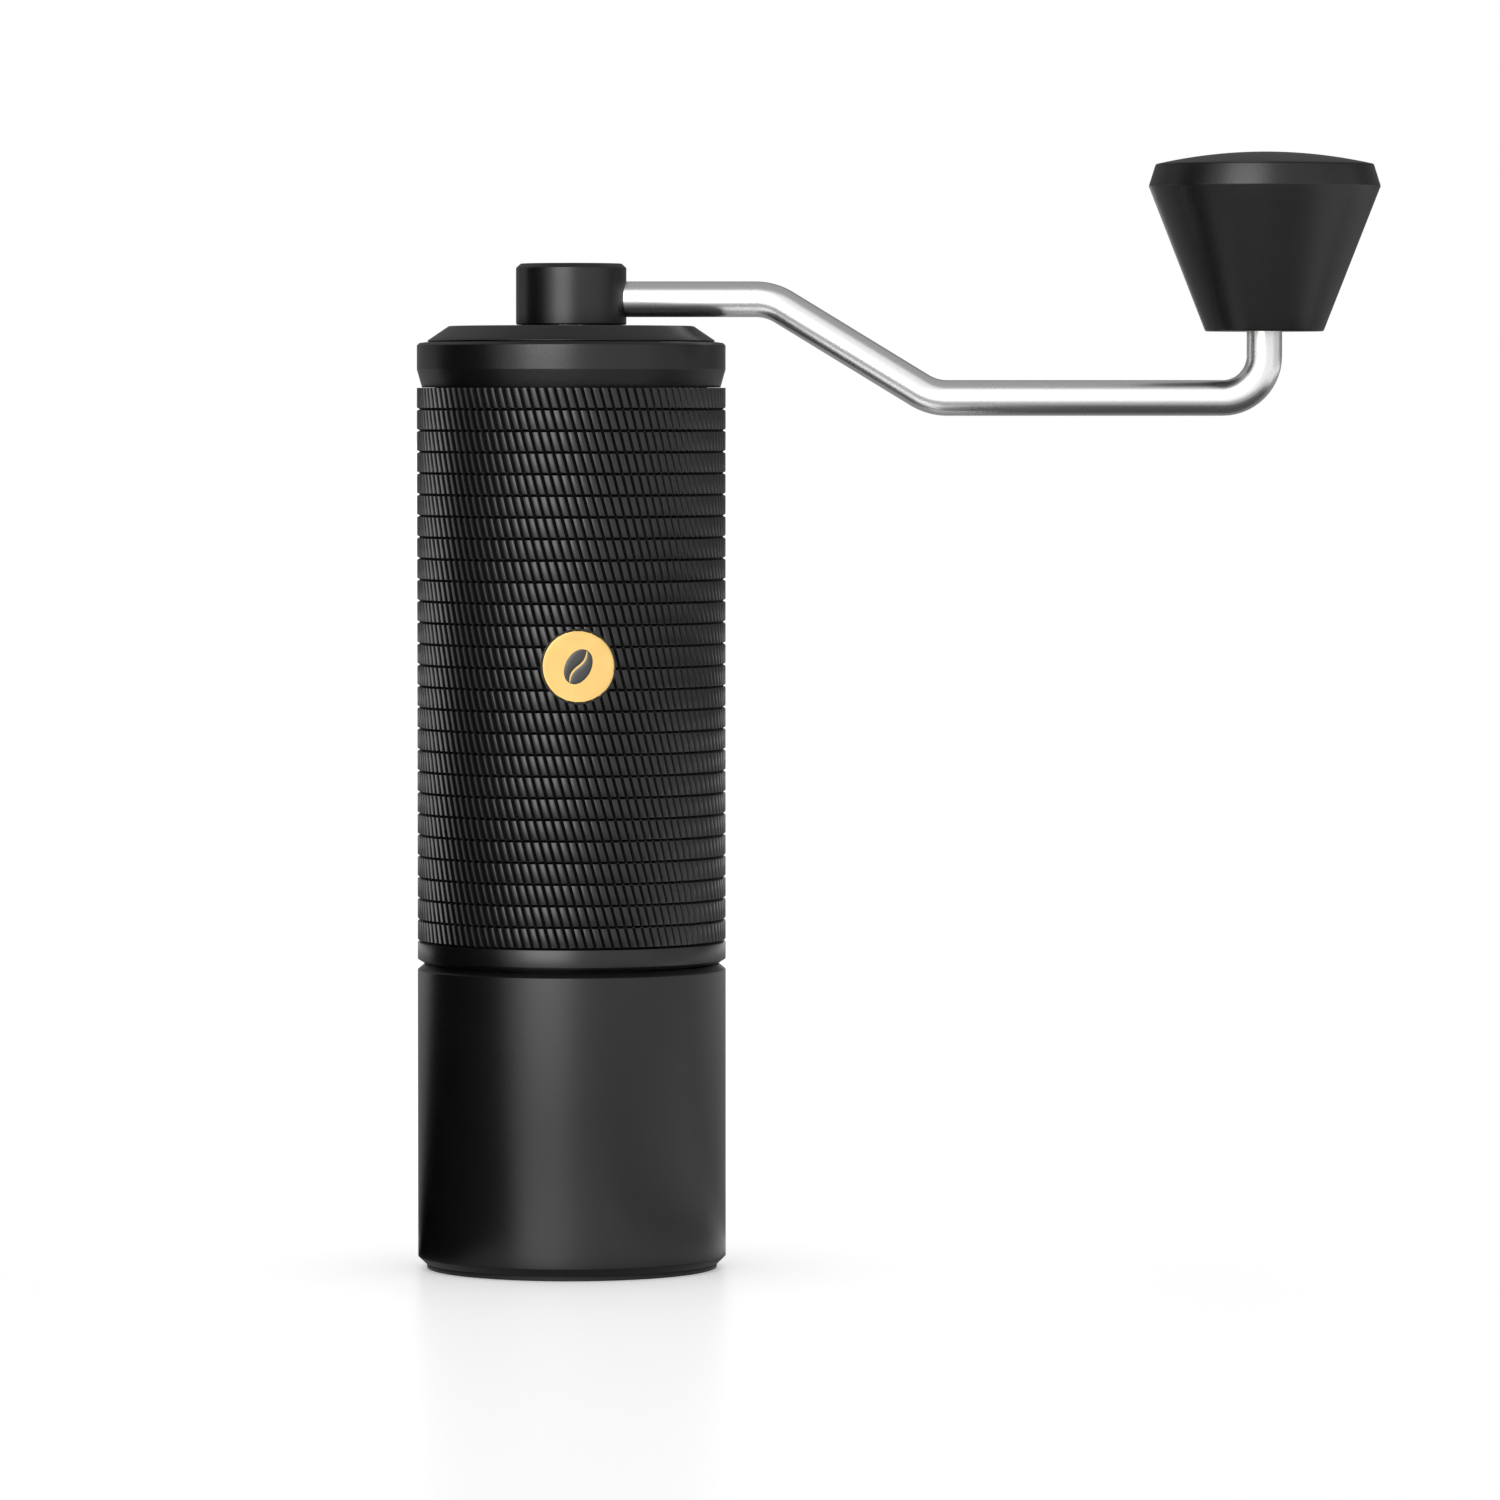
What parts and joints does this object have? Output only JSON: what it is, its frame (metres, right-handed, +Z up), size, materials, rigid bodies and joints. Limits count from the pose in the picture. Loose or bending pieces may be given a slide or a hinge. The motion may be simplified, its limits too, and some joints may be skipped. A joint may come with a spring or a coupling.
{
  "type": "hand crank coffee grinder",
  "caption": "Slim upright hand coffee grinder: knurled grip over a bean hopper and conical burrs, catch cup below, and a lift-off bent-rod crank with a conical knob on top.",
  "frame": {"origin": "centre of the underside of the base pad, on the table", "axes": "+Z up along the drive shaft, +X along the crank arm at rest, -Y towards the badge"},
  "size_m": [0.1622, 0.052, 0.1882],
  "materials": {
    "black_anodised": "bead-blasted and anodised matt black",
    "black_plastic": "fine matt moulded plastic",
    "inner_plastic": "satin moulded plastic",
    "black_rubber": "matt rubber",
    "clear_silicone": "soft silicone",
    "gold_plate": "satin champagne gold",
    "dark_enamel": "filled enamel",
    "stainless": "fine circumferential satin",
    "bearing_steel": "ground and polished",
    "burr_steel": "machined hardened steel",
    "spring_steel": "drawn wire",
    "bronze": "sintered bronze"
  },
  "bodies": {
    "cup": {"catch_cup": "black_anodised", "base_pad": "black_rubber"},
    "housing": {"grip_sleeve": "black_anodised", "inner_body": "inner_plastic", "cup_seal": "black_rubber", "badge_disc": "gold_plate", "badge_bean": "dark_enamel", "upper_bracket": "inner_plastic", "bracket_circlip": "spring_steel", "upper_bearing_outer": "bearing_steel", "lower_bracket": "inner_plastic", "lower_bearing_outer": "bearing_steel", "ring_burr": "burr_steel", "burr_retainer": "stainless", "retainer_screws": "stainless"},
    "lid": {"lid_ring": "black_plastic", "lid_cap": "black_plastic", "lid_gasket": "clear_silicone"},
    "rotor": {"drive_shaft": "stainless", "upper_bearing_inner": "bearing_steel", "lower_bearing_inner": "bearing_steel", "shaft_clips": "spring_steel", "burr_spring": "spring_steel"},
    "upper_balls": {"upper_bearing_balls": "bearing_steel"},
    "lower_balls": {"lower_bearing_balls": "bearing_steel"},
    "burr": {"inner_burr": "burr_steel", "detent_plate": "stainless"},
    "dial": {"adjusting_dial": "black_plastic", "detent_balls": "bearing_steel", "detent_springs": "spring_steel"},
    "crank": {"crank_hub": "black_anodised", "hub_socket": "stainless", "crank_arm": "stainless", "knob_screw": "stainless", "knob_washer": "stainless"},
    "knob": {"knob_shell": "black_plastic", "knob_cap": "black_plastic", "knob_bushing": "bronze"}
  },
  "joints": [
    {"name": "body_lift", "type": "slide", "parent": "cup", "child": "housing", "axis": [0, 0, 1], "range_m": [0, 0.04]},
    {"name": "crank_spin", "type": "hinge", "parent": "housing", "child": "rotor", "pos_m": [0, 0, 0.1], "axis": [0, 0, 1], "continuous": true},
    {"name": "upper_ball_orbit", "type": "hinge", "parent": "housing", "child": "upper_balls", "pos_m": [0, 0, 0.1336], "axis": [0, 0, 1], "continuous": true},
    {"name": "lower_ball_orbit", "type": "hinge", "parent": "housing", "child": "lower_balls", "pos_m": [0, 0, 0.0765], "axis": [0, 0, 1], "continuous": true},
    {"name": "lid_lift", "type": "slide", "parent": "housing", "child": "lid", "axis": [0, 0, 1], "range_m": [0, 0.03]},
    {"name": "crank_lift", "type": "slide", "parent": "rotor", "child": "crank", "axis": [0, 0, 1], "range_m": [0, 0.06]},
    {"name": "knob_spin", "type": "hinge", "parent": "crank", "child": "knob", "pos_m": [0.1167, 0, 0.17], "axis": [0, 0, 1], "continuous": true},
    {"name": "burr_travel", "type": "slide", "parent": "rotor", "child": "burr", "axis": [0, 0, -1], "range_m": [0, 0.0015], "deforming": ["burr_spring"]},
    {"name": "dial_turn", "type": "hinge", "parent": "burr", "child": "dial", "pos_m": [0, 0, 0.037], "axis": [0, 0, -1], "range_deg": [0, 720]}
  ],
  "couplings": [
    {"joint": "upper_ball_orbit", "follows": "crank_spin", "ratio": 0.425},
    {"joint": "lower_ball_orbit", "follows": "crank_spin", "ratio": 0.425},
    {"joint": "lid_lift", "follows": "crank_lift", "ratio": 0.5},
    {"joint": "dial_turn", "follows": "burr_travel", "rad_per_m": 8377.6}
  ]
}
